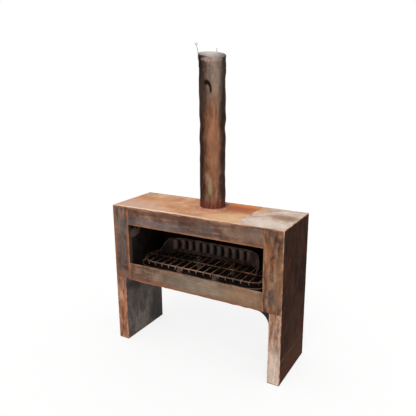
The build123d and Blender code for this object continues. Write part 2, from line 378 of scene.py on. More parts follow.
class Shader(Nodes):
    """One procedural material in the making, in object coordinates."""

    def __init__(self, name, metallic=0.0, specular=0.4):
        self.material = bpy.data.materials.new(name)
        self.material.use_nodes = True
        super().__init__(self.material.node_tree)
        self.tree.nodes.clear()
        self.output = self.node("ShaderNodeOutputMaterial")
        self.surface = self.node("ShaderNodeBsdfPrincipled")
        self.surface.inputs["Metallic"].default_value = metallic
        self.surface.inputs["Specular IOR Level"].default_value = specular
        self.link(self.surface.outputs["BSDF"], self.output.inputs["Surface"])
        self.place = self.node("ShaderNodeTexCoord").outputs["Object"]

    def scaled(self, scale, offset=(0, 0, 0)):
        made = self.node("ShaderNodeMapping")
        self.link(self.place, made.inputs["Vector"])
        made.inputs["Scale"].default_value = scale
        made.inputs["Location"].default_value = offset
        return made.outputs[0]

    def cloud(self, scale, detail=5.0, rough=0.6, distortion=0.0, stretch=(1, 1, 1), offset=(0, 0, 0)):
        """Noise from about 0.25 to 0.75."""
        made = self.node("ShaderNodeTexNoise")
        self.link(self.scaled(stretch, offset), made.inputs["Vector"])
        made.inputs["Scale"].default_value = scale
        made.inputs["Detail"].default_value = detail
        made.inputs["Roughness"].default_value = rough
        made.inputs["Distortion"].default_value = distortion
        return made.outputs["Fac"]

    def cells(self, scale):
        made = self.node("ShaderNodeTexVoronoi")
        self.link(self.scaled((1, 1, 1)), made.inputs["Vector"])
        made.inputs["Scale"].default_value = scale
        return made.outputs["Distance"]

    def mix(self, factor, a, b, blend="MIX"):
        made = self.node("ShaderNodeMix", data_type="RGBA", blend_type=blend)
        self.put(made.inputs[0], factor)
        for socket, value in ((made.inputs[6], a), (made.inputs[7], b)):
            self.put(socket, value if isinstance(value, bpy.types.NodeSocket) else (*value, 1))
        return made.outputs[2]

    def shade(self, colour, value, low, high, to_low, to_high, strength):
        """Darkens and lightens the colour by a grey that follows the value."""
        made = self.node("ShaderNodeCombineColor")
        grey = self.between(value, low, high, to_low, to_high)
        for socket in made.inputs:
            self.link(grey, socket)
        return self.mix(strength, colour, made.outputs[0], "MULTIPLY")

    def ramp(self, value, stops):
        made = self.node("ShaderNodeValToRGB")
        self.put(made.inputs[0], value)
        ramp = made.color_ramp
        while len(ramp.elements) < len(stops):
            ramp.elements.new(0.5)
        for element, (position, colour) in zip(ramp.elements, stops):
            element.position = position
            element.color = (*colour, 1)
        return made.outputs[0]

    def attribute(self, name):
        return self.node("ShaderNodeAttribute", attribute_name=name).outputs["Fac"]

    def vector(self, operation, a, b=None):
        made = self.node("ShaderNodeVectorMath", operation=operation)
        self.link(a, made.inputs[0])
        if b is not None:
            made.inputs[1].default_value = b
        return made.outputs["Value" if operation == "LENGTH" else "Vector"]

    def zone(self, centre, reach, softness=0.6, ragged=0.5, scale=14.0):
        """1 inside an ellipsoid about `centre` with half sizes `reach`, fading raggedly to 0 outside."""
        away = self.vector("DIVIDE", self.vector("SUBTRACT", self.place, centre), reach)
        torn = self.math("MULTIPLY_ADD", self.cloud(scale, 6.0, 0.65), 2 * ragged, -ragged)
        return self.between(self.plus(self.vector("LENGTH", away), torn), 1 - softness, 1 + softness, 1.0, 0.0)

    def bump(self, height, distance, strength=1.0, base=None):
        made = self.node("ShaderNodeBump")
        made.inputs["Strength"].default_value = strength
        made.inputs["Distance"].default_value = distance
        self.link(height, made.inputs["Height"])
        if base is not None:
            self.link(base, made.inputs["Normal"])
        return made.outputs[0]

    def finish(self, colour, roughness, normal=None):
        self.put(self.surface.inputs["Base Color"], colour)
        self.put(self.surface.inputs["Roughness"], roughness)
        if normal is not None:
            self.link(normal, self.surface.inputs["Normal"])
        return self.material


def srgb(r, g, b):
    """A colour picked as 0 to 255, as the linear numbers that a shader takes."""
    def linear(c):
        c /= 255
        return c / 12.92 if c <= 0.04045 else ((c + 0.055) / 1.055) ** 2.4
    return tuple(linear(c) for c in (r, g, b))


ALONG_Z = (1.0, 1.0, 0.2)   # how streaks are stretched
ALONG_X = (0.16, 1.0, 1.0)


def rust(name, tones, patches, edge, zones=(), shares=(0.5, 0.45, 0.4), streak=0.35, flow=ALONG_Z, shift=0.0,
         edge_strength=0.45, grain=0.5, metallic=0.05, specular=0.2, painted_shading=None, crown=0.7, bump=1.0,
         contrast=0.6):
    """Weathered steel, its colours picked as 0 to 255: a cloudy base of dark, middle and light tones, then patches
    of cool patina, warm rust and dark scale in the given shares, stains and some painted light and shade in zones
    (centre, half sizes, colour, strength and how the edge fades), fine grain, and worn cut edges in the edge colour.
    shift moves the pattern. hollow is the colour of painted shade, laid on where the "hollow" attribute is high;
    where that attribute is below 0 the edge colour is laid on as a painted highlight, up to `crown`. Noise scales
    are lumps per metre, from broad clouds at 6 to grains at 150."""
    s = Shader(name, metallic=metallic, specular=specular)
    dark, mid, light = (srgb(*tone) for tone in tones)
    cool, warm = (srgb(*tone) for tone in patches)
    edge = srgb(*edge)
    offset = (shift, shift * 0.7, shift * 1.3)

    broad = s.cloud(6.0, 3.0, 0.5, 0.5, offset=offset)
    patchy = s.cloud(19.0, 7.0, 0.62, 0.25, offset=offset)
    runs = s.cloud(52.0, 5.0, 0.62, 0.4, stretch=flow, offset=offset)
    base = s.plus(s.times(broad, 0.4), s.times(patchy, 0.6))
    base = s.plus(s.times(base, 1 - streak), s.times(runs, streak))
    colour = s.ramp(base, [(0.40, dark), (0.5, mid), (0.60, light)])

    cool_at = s.between(s.cloud(8.0, 5.0, 0.6, 0.6, offset=(shift + 3, 1, 2)), 0.50, 0.63)
    warm_at = s.between(s.cloud(12.0, 6.0, 0.66, 1.0, stretch=(1, 1, 0.5), offset=(shift, 5, 3)), 0.52, 0.65)
    scale_at = s.between(s.cloud(14.0, 6.0, 0.68, 0.7, offset=(shift + 9, 4, 7)), 0.54, 0.68)
    scale = tuple(0.42 * c for c in dark)
    for mask, tint, share in zip((cool_at, warm_at, scale_at), (cool, warm, scale), shares):
        colour = s.mix(s.times(mask, share), colour, tint)
    for centre, reach, tint, strength, *fading in zones:
        colour = s.mix(s.times(s.zone(centre, reach, *fading), strength), colour, srgb(*tint))
    colour = s.shade(colour, base, 0.40, 0.60, 0.66, 1.30, contrast)

    flecks = s.between(s.cloud(75.0, 6.0, 0.7, 0.6, offset=offset), 0.57, 0.66)
    colour = s.mix(s.times(flecks, 0.35 * grain), colour, warm)
    grains = s.cloud(150.0, 6.0, 0.7)
    colour = s.shade(colour, grains, 0.3, 0.7, 0.72, 1.28, grain)
    rim_wear_and_light = s.between(s.cloud(24.0, 5.0, 0.65, offset=offset), 0.40, 0.58, 0.1, 1.0)
    rim = s.between(s.times(s.attribute("rim"), rim_wear_and_light), 0.05, 0.85)
    colour = s.mix(s.times(rim, edge_strength), colour, edge)
    # painted shade where the attribute is high; painted highlight in the edge colour where it is below 0
    if painted_shading:
        depth = s.attribute("painted_shading")
        colour = s.mix(s.between(s.times(depth, -1.0), 0.0, 1.0, 0.0, crown), colour, edge)
        colour = s.mix(s.between(depth, 0.1, 0.9), colour, srgb(*painted_shading))

    pits = s.between(s.cells(310.0), 0.08, 0.4)
    normal = s.bump(patchy, 2.0 * MM, 0.4 * bump)
    normal = s.bump(s.plus(s.times(grains, 0.7), s.times(pits, 0.3)), 0.5 * MM, 0.4 * bump, normal)
    roughness = s.between(s.plus(patchy, s.times(grains, 0.4)), 0.5, 0.95, 0.55, 0.9)
    return s.finish(colour, roughness, normal)


# ---- materials ----------------------------------------------------------------------------------
PATCH_DEPTH = 0.05          # how far a patch of colour, a stain or a painted highlight, reaches through the sheet it is on
WORN = (192, 126, 80)
GREY_BLUE = (104, 98, 96)
ORANGE = (160, 96, 54)


def on_front(x, z, half_x, half_z, *look):
    """A stain on the front face; look is its colour, its strength and how its edge fades."""
    return (x, FRONT_Y, z), (half_x, PATCH_DEPTH, half_z), *look


def on_top(x, y, half_x, half_y, *look):
    return (x, y, TOP_Z), (half_x, half_y, PATCH_DEPTH), *look


def on_pipe(x, y, z, reach, *look):
    """A patch of colour on the chimney, a stain at some places and painted light or shade at others: x and y from
    its axis, z from its foot.
    """
    return (FLUE.x + x, FLUE.y + y, PIPE_LOW.z + z), reach, *look


def bright_wire():
    s = Shader("bright_wire", metallic=0.4, specular=0.5)
    tarnish = s.cloud(90.0, 6.0, 0.7, 0.4)
    tones = ((0.35, (150, 146, 144)), (0.55, (196, 192, 190)), (0.7, (224, 222, 220)))
    colour = s.ramp(tarnish, [(at, srgb(*tone)) for at, tone in tones])
    normal = s.bump(s.cloud(700.0, 3.0, 0.6), 0.2 * MM, 0.4)
    return s.finish(colour, s.between(tarnish, 0.35, 0.7, 0.5, 0.28), normal)


MATERIALS = {"wire": bright_wire()}

MATERIALS["rails"] = rust(
    "corten_rails", ((64, 44, 36), (106, 79, 66), (150, 120, 100)), (GREY_BLUE, ORANGE), WORN,
    shares=(0.55, 0.35, 0.25), contrast=0.3, edge_strength=0.55, flow=ALONG_X,
    zones=[
        on_front(0.08, 0.480, 0.30, 0.050, (140, 126, 106), 0.65),
        on_front(0.33, 0.470, 0.12, 0.045, (152, 116, 86), 0.65),
        on_front(-0.16, 0.480, 0.09, 0.040, (116, 94, 78), 0.5),
        on_front(-0.24, 0.800, 0.22, 0.024, (116, 106, 106), 0.6),
        on_front(-0.10, 0.862, 0.34, 0.016, (96, 60, 46), 0.7),
        on_front(0.06, 0.815, 0.12, 0.030, (84, 60, 50), 0.5),
        on_front(0.34, 0.835, 0.12, 0.036, (136, 108, 90), 0.6),
        on_front(-0.36, 0.44, 0.12, 0.03, (88, 58, 46), 0.6),
        on_front(0.0, OPENING_TOP + 0.003, 0.50, 0.006, (166, 104, 58), 0.6, 0.5, 0.8, 26.0),
        on_front(0.0, UNDERSIDE_Z + 0.004, 0.50, 0.008, (150, 84, 42), 0.75, 0.5, 0.8, 26.0),
    ])

MATERIALS["stile_left"] = rust(
    "corten_stile_left", ((52, 36, 29), (92, 68, 57), (132, 103, 88)), (GREY_BLUE, ORANGE), WORN,
    shares=(0.5, 0.4, 0.3), streak=0.4, contrast=0.3, edge_strength=0.55,
    zones=[
        on_front(-0.505, 0.60, 0.035, 0.16, (92, 80, 78), 0.5),
        on_front(-OUTER_X + 0.012, 0.66, 0.007, 0.24, (152, 92, 50), 0.55, 0.6, 0.8, 22.0),
        on_front(-OPENING_X - 0.006, 0.64, 0.009, 0.20, (158, 98, 56), 0.5, 0.6, 0.8, 22.0),
        on_front(-0.50, 0.445, 0.06, 0.03, (138, 92, 74), 0.7),
    ])

MATERIALS["stile_right"] = rust(
    "corten_stile_right", ((58, 38, 30), (108, 78, 60), (154, 120, 94)), (GREY_BLUE, ORANGE), WORN,
    shares=(0.4, 0.6, 0.5), streak=0.5, shift=2.0, contrast=0.3,
    zones=[
        on_front(0.485, 0.84, 0.03, 0.05, (76, 52, 42), 0.45),
        on_front(0.53, 0.60, 0.02, 0.16, (150, 108, 78), 0.5),
        on_front(0.465, 0.70, 0.012, 0.13, (158, 98, 56), 0.6),
    ])

MATERIALS["leg_left"] = rust(
    "corten_leg_left", ((114, 68, 47), (152, 101, 74), (182, 136, 110)), ((150, 128, 120), ORANGE),
    (204, 160, 130), shares=(0.25, 0.6, 0.2), streak=0.6, shift=4.0, edge_strength=0.7)

MATERIALS["leg_right"] = rust(
    "corten_leg_right", ((108, 74, 58), (150, 112, 90), (182, 148, 128)), ((160, 134, 122), ORANGE),
    (212, 176, 150), shares=(0.4, 0.35, 0.2), streak=0.6, shift=5.0, edge_strength=0.8,
    zones=[on_front(0.515, 0.06, 0.06, 0.15, (214, 192, 178), 0.9)])

# painted shade: the sides, back, skirts, back legs and foot plates are the same corten as the front, but their tones
# are kept far darker to stand in for the shade on faces turned away from the light
MATERIALS["side"] = rust(
    "corten_side", ((32, 17, 11), (50, 29, 20), (68, 42, 30)), ((52, 34, 27), (76, 43, 27)), (112, 70, 48),
    shares=(0.3, 0.35, 0.4), shift=7.0, specular=0.02, metallic=0.0,
    zones=[
        ((OUTER_X, 0, 0.04), (0.05, 0.26, 0.12), (88, 55, 41), 0.8),
        ((OUTER_X, 0, 0.26), (0.05, 0.26, 0.16), (62, 38, 28), 0.5),
    ])

MATERIALS["top"] = rust(
    "corten_top", ((184, 128, 90), (195, 143, 107), (206, 164, 132)), ((200, 156, 128), (192, 118, 66)),
    (222, 190, 164), shares=(0.3, 0.22, 0.0), streak=0.0, shift=1.0, grain=0.2, bump=0.4, edge_strength=0.5,
    contrast=0.08,
    zones=[
        on_top(0.17, 0.10, 0.13, 0.11, (158, 82, 42), 0.85),
        on_top(0.20, 0.17, 0.16, 0.04, (206, 126, 62), 0.75),
        on_top(0.18, -0.11, 0.12, 0.08, (214, 178, 138), 0.7),
        on_top(-0.44, -0.12, 0.17, 0.09, (190, 158, 142), 0.7),
        # painted highlight: a pale band along the top's front edge, where the edge catches the light
        on_top(-0.22, -0.182, 0.38, 0.016, (236, 212, 194), 0.8),
        on_top(-0.52, 0.16, 0.07, 0.06, (150, 126, 112), 0.5),
    ])

MATERIALS["top_right"] = rust(
    "corten_top_right", ((168, 140, 122), (192, 168, 150), (206, 190, 178)), ((204, 190, 180), (178, 132, 96)),
    (218, 188, 164), shares=(0.5, 0.3, 0.0), streak=0.0, shift=3.0, grain=0.25, bump=0.4, edge_strength=0.5,
    contrast=0.12,
    zones=[
        on_top(0.47, 0.03, 0.09, 0.045, (132, 100, 80), 0.8),
        on_top(0.30, 0.13, 0.05, 0.08, (188, 142, 104), 0.7),
        on_top(0.42, -0.11, 0.15, 0.06, (210, 196, 186), 0.7),
    ])

MATERIALS["liner"] = rust(
    "dark_liner", ((78, 68, 62), (100, 91, 86), (124, 115, 109)), ((116, 112, 108), (98, 74, 58)), (84, 66, 56),
    shares=(0.5, 0.25, 0.3), streak=0.3, shift=8.0, contrast=0.4, edge_strength=0.3,
    zones=[
        # painted shade at the top of the left leg's inner face, under the box
        ((-LEG_IN_X + 0.02, -0.10, 0.39), (0.08, 0.14, 0.075), (34, 26, 22), 0.9),
        # painted shadow low on the back of the left leg's inner face
        ((-LEG_IN_X, 0.14, 0.08), (0.05, 0.08, 0.14), (58, 50, 46), 0.7),
        # painted shade: the right corner web under the front, kept nearly black
        ((LEG_IN_X - 0.01, FRONT_Y, UNDERSIDE_Z - 0.01), (0.07, 0.03, 0.07), (30, 26, 24), 1.0),
    ])

MATERIALS["soot"] = rust(
    "sooted_steel", ((22, 18, 16), (34, 28, 25), (48, 40, 36)), ((40, 36, 34), (52, 36, 28)), (84, 60, 46),
    streak=0.2, shift=9.0, specular=0.15,
    zones=[
        # painted light: a lit patch high on the left cheek near the front, where light falls in through the opening
        ((-OPENING_X, -0.130, 0.712), (0.03, 0.055, 0.024), (128, 100, 92), 0.85, 0.3, 1.3, 34.0),
        # painted light: a paler strip down the front edge of the left cheek, lit from outside
        ((-OPENING_X, -0.176, 0.60), (0.03, 0.016, 0.16), (96, 82, 76), 0.8),
    ])

# the rolled rim is paler than the tray: partly worn steel, partly painted highlight; its zone is a painted highlight
# on the rim's right front corner
MATERIALS["pan_rim"] = rust(
    "pan_rim_worn_and_highlit", ((50, 42, 38), (80, 70, 64), (112, 100, 92)), ((100, 94, 90), (88, 60, 44)), (100, 78, 66),
    streak=0.0, shift=9.5, specular=0.4,
    zones=[((0.38, -0.10, 0.51), (0.08, 0.08, 0.05), (126, 110, 102), 0.6)])

# the dark colour (14, 10, 9) is painted shade in the pressed slots, and the edge colour on the pads' crowns is
# painted highlight
MATERIALS["fireback"] = rust(
    "fireback_steel", ((64, 50, 44), (92, 74, 68), (118, 98, 90)), ((100, 88, 84), (104, 72, 56)),
    (150, 126, 118), shares=(0.3, 0.3, 0.3), streak=0.3, shift=10.0, painted_shading=(14, 10, 9),
    # painted shadow over the left end of the plate
    zones=[((-0.37, -0.03, 0.59), (0.13, 0.16, 0.12), (26, 20, 18), 0.85)])

MATERIALS["rod"] = rust(
    "grate_rod", ((52, 34, 26), (104, 70, 50), (160, 114, 84)), ((150, 124, 108), (166, 104, 64)),
    (180, 120, 80), shares=(0.6, 0.5, 0.6), streak=0.0, shift=11.0, specular=0.35, grain=0.7,
    zones=[
        # painted shade over the left part of the grate
        ((-0.35, 0.0, 0.54), (0.22, 0.20, 0.05), (50, 36, 30), 0.78),
        # painted highlight: glints along the curled front ends of the bars
        ((0.0, -0.135, 0.53), (0.44, 0.022, 0.03), (168, 132, 116), 0.5),
    ])

MATERIALS["collar"] = rust(
    "collar_red", ((128, 70, 54), (164, 98, 78), (196, 136, 116)), ((180, 132, 116), (150, 76, 52)),
    (206, 158, 138), shares=(0.4, 0.4, 0.1), streak=0.0, shift=12.0)

# pale weld metal; along the box's corners its paleness also stands in for the highlight that the corner edges catch:
# partly painted highlight
MATERIALS["bead"] = rust(
    "weld_bead", ((142, 100, 74), (190, 144, 112), (226, 186, 156)), ((160, 132, 114), (180, 114, 68)),
    (190, 130, 90), streak=0.0, shift=13.0)

MATERIALS["bead_dark"] = rust(
    "weld_bead_dark", ((54, 36, 28), (76, 50, 38), (98, 68, 52)), ((80, 60, 50), (96, 58, 38)), (110, 74, 52),
    streak=0.0, shift=14.0, specular=0.1)

MATERIALS["seam"] = rust(
    "front_seam", ((96, 60, 40), (146, 94, 60), (176, 118, 76)), ((110, 88, 74), (170, 100, 54)),
    (170, 120, 84), streak=0.0, shift=16.0)

# the near-white edge colour is painted light on the rim and inside the mouth; the dark colour (20, 14, 12) is
# painted shadow under the dents' lips
MATERIALS["pipe"] = rust(
    "corten_pipe", ((46, 31, 25), (98, 72, 59), (146, 116, 98)), ((112, 100, 90), (146, 86, 54)),
    (248, 240, 236), shares=(0.45, 0.5, 0.35), streak=0.6, shift=15.0, painted_shading=(20, 14, 12), contrast=0.4,
    specular=0.06, edge_strength=0.12, crown=1.0,
    zones=[
        on_pipe(0.020, -0.075, 0.42, (0.055, 0.05, 0.28), (146, 94, 64), 0.55),
        on_pipe(0.055, -0.055, 0.76, (0.06, 0.07, 0.16), (142, 128, 116), 0.6),
        on_pipe(0.051, -0.059, 0.34, (0.034, 0.034, 0.26), (156, 108, 82), 0.65),
        on_pipe(0.023, -0.075, 0.13, (0.010, 0.04, 0.05), (168, 150, 116), 0.75),
        # painted shade: the whole left flank of the pipe, turned away from the light
        on_pipe(-0.080, -0.052, 0.43, (0.074, 0.074, 1.0), (44, 25, 17), 0.95, 0.35, 0.35),
        # painted shadow beside the upper front dent
        on_pipe(-0.03, -0.075, 0.66, (0.040, 0.03, 0.11), (66, 52, 46), 0.7),
        # painted shade: the right flank of the pipe
        on_pipe(0.088, 0.002, 0.43, (0.045, 0.040, 0.80), (38, 27, 22), 0.85, 0.45, 0.35),
        on_pipe(0.0, 0.0, 0.0, (0.10, 0.10, 0.060), (132, 72, 56), 0.8),
        on_pipe(0.030, -0.072, PIPE_LENGTH - 0.030, (0.060, 0.05, 0.012), (178, 152, 142), 0.7),
        # painted shadow in the dent high on the left front
        on_pipe(-0.050, -0.055, PIPE_LENGTH - 0.080, (0.034, 0.034, 0.070), (36, 25, 21), 0.9),
        # painted highlight: a small bright glint near the mouth
        on_pipe(-0.024, -0.071, PIPE_LENGTH - 0.029, (0.007, 0.02, 0.005), (182, 168, 140), 0.55),
    ])


# ---- casing -------------------------------------------------------------------------------------
# node: material, the sides that are cut edges, and how far those wander
FRONT_PIECES = {
    "front_top_rail": ("rails", ("v0", "v1"), {}),
    "front_bottom_rail": ("rails", ("v0", "v1"), {"v0": 2.2 * MM, "v1": 0.8 * MM}),
    "front_stile_left": ("stile_left", ("u0", "u1", "v1"), {"u1": 0.8 * MM}),
    "front_stile_right": ("stile_right", ("u0", "u1", "v1"), {"u0": 0.6 * MM}),
    "leg_front_left": ("leg_left", ("u0", "u1", "v0"), {"u1": 0.8 * MM, "v0": 0.6 * MM}),
    "leg_front_right": ("leg_right", ("u0", "u1", "v0"), {"u0": 2.2 * MM, "v0": 0.6 * MM}),
}
DARK_PIECES = ("side_panel_left", "side_panel_right", "side_skirt_left", "side_skirt_right", "back_panel",
               "leg_back_left", "leg_back_right")
CUTTER_HEIGHT = 50 * MM
LINER_STEP = 22 * MM
LINER_TURNS = 14            # facets round the liner's bend
WEB_GAP = 4 * MM            # between the corner web and the face of the liner's bend
WEB_TURNS = 12
WEB_INSET = 0.3 * MM        # the web is thinner than the front on both faces
WELD_INSET = 0.8 * MM       # a corner's fillet sits this far inside the sharp corner


def cut_round(obj, centre, radius):
    """Cuts a round hole up through the piece."""
    bm = bmesh.new()
    bmesh.ops.create_cone(bm, cap_ends=True, segments=72, radius1=radius, radius2=radius, depth=CUTTER_HEIGHT,
                          matrix=Matrix.Translation(centre))
    cutter = bare_object("cutter", bm)
    modifier = obj.modifiers.new("hole", "BOOLEAN")
    modifier.operation = "DIFFERENCE"
    modifier.object = cutter
    modifier.solver = "EXACT"
    graph = bpy.context.evaluated_depsgraph_get()
    cut = bpy.data.meshes.new_from_object(obj.evaluated_get(graph))
    obj.modifiers.clear()
    obj.data = cut
    bpy.data.objects.remove(cutter)


def casing_plate(node, material, slot, hole=None, **look):
    """A flat sheet of the casing in place of its CAD node; hole is the middle and radius of a round one."""
    obj = plate(node + "_sheet", node, material, **look)
    if hole:
        cut_round(obj, *hole)
    settle(obj, "casing", slot, node)


def casing_plates():
    """Every flat sheet of the outside."""
    for seed, (node, (material, cut_sides, ragged)) in enumerate(FRONT_PIECES.items()):
        casing_plate(node, material, "corten_front", ragged=ragged, rims_on=cut_sides, seed=float(seed))
    for seed, node in enumerate(DARK_PIECES):
        casing_plate(node, "side", "corten_side", step=0.03, warp=1.0 * MM, seed=20.0 + seed)
    flue_hole = Vector((FLUE.x, FLUE.y, TOP_Z)), SPIGOT_R
    casing_plate("top_panel_left", "top", "corten_top", hole=flue_hole, step=0.03, warp=0.6 * MM, seed=30.0,
                 rims_on=("u0", "v0", "v1"))
    casing_plate("top_panel_right", "top_right", "corten_top", step=0.03, warp=0.6 * MM, seed=31.0,
                 rims_on=("u1", "v0", "v1"))
    for seed, (_, name) in enumerate(LEFT_AND_RIGHT):
        casing_plate("foot_plate_" + name, "side", "corten_front", warp=0.0, seed=40.0 + seed)
    casing_plate("underside_panel", "liner", "dark_liner", step=0.04, seed=44.0, warp=0.8 * MM)


def leg_liner(side, name):
    """The leg's inner face with its bend into the underside, as one bent sheet."""
    node = "leg_liner_" + name
    low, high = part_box(node)
    bend = high.x - low.x - SHEET
    inner_x = max(abs(low.x), abs(high.x)) - SHEET
    centre_x, centre_z = inner_x - bend, high.z - SHEET - bend
    rise = centre_z - low.z
    count = round(rise / LINER_STEP)
    profile = [((inner_x, low.z + rise * i / count), (1, 0)) for i in range(count)]
    for i in range(LINER_TURNS + 1):
        a = math.radians(90 * i / LINER_TURNS)
        normal = (math.cos(a), math.sin(a))
        profile.append(((centre_x + bend * normal[0], centre_z + bend * normal[1]), normal))
    bm = bmesh.new()
    rims = []

    def vert(x, y, z, across, up, depth):
        edge = min(y - low.y, high.y - y)
        flat = smoothstep(min(edge, z - low.z) / FLAT_MARGIN)
        out = depth + 1.1 * MM * wobble((x, y, z), 0.13, 50 + side) * flat
        rims.append(max(0.0, 1 - edge / (8 * MM)))
        return bm.verts.new((side * (x + across * out), y, z + up * out))

    ys = grid_lines(low.y, high.y, 0.025)
    fill_sheet(bm, *([[vert(x, y, z, *normal, depth) for y in ys] for (x, z), normal in profile]
                     for depth in (0.0, SHEET)))
    settle(make_object(node + "_sheet", bm, "liner", rims, sharp=50), "casing", "dark_liner", node)


def corner_web(side, name):
    """The small plate that closes the front's inner corner down to the bend of the leg liner."""
    low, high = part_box("leg_liner_" + name)
    bend = high.x - low.x - SHEET
    radius = bend + WEB_GAP
    first = math.acos(bend / radius)
    outline = [(LEG_IN_X, UNDERSIDE_Z)]
    for i in range(WEB_TURNS + 1):
        a = first + (math.pi / 2 - 2 * first) * i / WEB_TURNS
        outline.append((LEG_IN_X - bend + radius * math.cos(a), UNDERSIDE_Z - bend + radius * math.sin(a)))
    bm = bmesh.new()
    faces = [[bm.verts.new((side * x, y, z)) for x, z in outline]
             for y in (FRONT_Y + WEB_INSET, FRONT_Y + SHEET - WEB_INSET)]
    for corner, *curve in faces:
        for a, b in zip(curve, curve[1:]):
            bm.faces.new((corner, a, b))
    bridge(bm, faces)
    settle(make_object("corner_web_" + name, bm, "liner", sharp=50), "casing", "dark_liner")


def casing_welds():
    """The seams: flush ones on the faces, and fillets along the box's corners."""
    front, back, top = FRONT_Y + WELD_INSET, BACK_Y - WELD_INSET, TOP_Z - WELD_INSET
    fillet = (4.5 * MM, 1.3 * MM)

    def weld(name, runs, size, out, material, slot, seed):
        weld_bead(name, runs, size, out, material, "casing", slot, seed)

    face = [[(side * OPENING_X, FRONT_Y, z) for z in run]
            for side, _ in LEFT_AND_RIGHT for run in ((UNDERSIDE_Z, OPENING_BOTTOM), (OPENING_TOP, TOP_Z))]
    face += [[(side * x, FRONT_Y, UNDERSIDE_Z) for x in (LEG_IN_X, OUTER_X)] for side, _ in LEFT_AND_RIGHT]
    weld("front_seam_welds", face, (4 * MM, 0.5 * MM), (0, -1, 0), "seam", "corten_front", 1.0)
    run = [(TOP_SEAM_X, y, TOP_Z) for y in (FRONT_Y, BACK_Y)]
    weld("top_seam_weld", [run], (5 * MM, 0.6 * MM), (0, 0, 1), "bead", "corten_top", 3.0)
    for side, name in LEFT_AND_RIGHT:
        x = side * (OUTER_X - WELD_INSET)
        run = [(x, front, z) for z in (2 * MM, TOP_Z - 1 * MM)]
        weld("front_corner_weld_" + name, [run], fillet, (side, -1, 0), "bead", "corten_front", 5.0 + side)
        run = [(x, back, z) for z in (2 * MM, TOP_Z - 1 * MM)]
        weld("back_corner_weld_" + name, [run], fillet, (side, 1, 0), "bead_dark", "corten_side", 7.0 + side)
        run = [(side * OUTER_X, y, SKIRT_Z) for y in (FRONT_Y, BACK_Y)]
        weld("side_seam_weld_" + name, [run], (7 * MM, 0.9 * MM), (side, 0, 0), "bead_dark", "corten_side",
             9.0 + side)
        run = [(x, y, top) for y in (FRONT_Y, BACK_Y)]
        weld("top_side_weld_" + name, [run], fillet, (side, 0, 1), "bead", "corten_top", 11.0 + side)
    run = [(x, front, top) for x in (-OUTER_X, OUTER_X)]
    weld("top_front_weld", [run], fillet, (0, -1, 1), "bead", "corten_top", 15.0)
    run = [(x, back, top) for x in (-OUTER_X, OUTER_X)]
    weld("top_back_weld", [run], fillet, (0, 1, 1), "bead_dark", "corten_top", 16.0)


# how many, the edge they landed beside, how far in from it (mm), their heights, and their radii (mm)
SPATTERS = (
    (46, LEG_IN_X, (1, 9), (0.02, 0.34), (0.9, 2.0)),
    (26, OUTER_X, (-3, -12), (0.62, 0.87), (0.8, 1.6)),
)
SPATTER_FLAT = 0.55         # a bead's height as a share of its width


def weld_spatter():
    """Beads of weld metal along the right leg's inner edge, and down the upper right corner of the front."""
    rng = random.Random(7)
    shape = Vector((0, 0, 1)).rotation_difference(Vector((0, -1, 0))).to_matrix().to_4x4()
    shape @= Matrix.Diagonal((1, 1, SPATTER_FLAT, 1))
    bm = bmesh.new()
    for count, edge_x, inward, heights, radii in SPATTERS:
        for _ in range(count):
            place = Vector((edge_x + rng.uniform(*inward) * MM, FRONT_Y, rng.uniform(*heights)))
            made = bmesh.ops.create_icosphere(bm, subdivisions=2, radius=rng.uniform(*radii) * MM,
                                              matrix=Matrix.Translation(place) @ shape)
            for vert in made["verts"]:
                vert.co += (vert.co - place) * 0.25 * wobble(vert.co, 0.003, 130)
    settle(make_object("weld_spatter", bm, "bead"), "casing", "corten_front")


# ---- firebox ------------------------------------------------------------------------------------
def firebox():
    for seed, node in enumerate(("firebox_floor", "firebox_cheek_left", "firebox_cheek_right")):
        casing_plate(node, "soot", "sooted_steel", step=0.035, warp=1.2 * MM, seed=60.0 + seed)
    dress("floor_bearers", "liner", 0.6 * MM)


def rounded_outline(half_l, half_d, radius, step=0.012):
    """Points round a rectangle with round corners, anticlockwise seen from above."""
    points = []
    turns = max(4, round(math.pi / 2 * radius / step))
    for sx, sy, start in ((1, -1, -90), (1, 1, 0), (-1, 1, 90), (-1, -1, 180)):
        for i in range(turns + 1):
            a = math.radians(start + 90 * i / turns)
            x = sx * (half_l - radius) + radius * math.cos(a)
            y = sy * (half_d - radius) + radius * math.sin(a)
            points.append(Vector((x, y, 0)))
    return resample(points, step, closed=True)


def round_bar(name, line, radius, material, body, slot, *nodes, sides=12, closed=False):
    """A piece that is one bar along the line; radius(point) gives its size."""
    bm = bmesh.new()
    sweep(bm, line, lambda i: radius(line[i]), sides, closed)
    settle(make_object(name, bm, material), body, slot, *nodes)


PAN_CORNER = 0.120
PAN_SHEET = 2.5 * MM
PAN_ROLL = 3.2 * MM         # half the thickness of the rolled rim
PAN_LEVELS = (4 * MM, 10 * MM, 22 * MM, 36 * MM, 50 * MM)
PAN_HEEL = 6 * MM           # the wall turns in to the floor below this


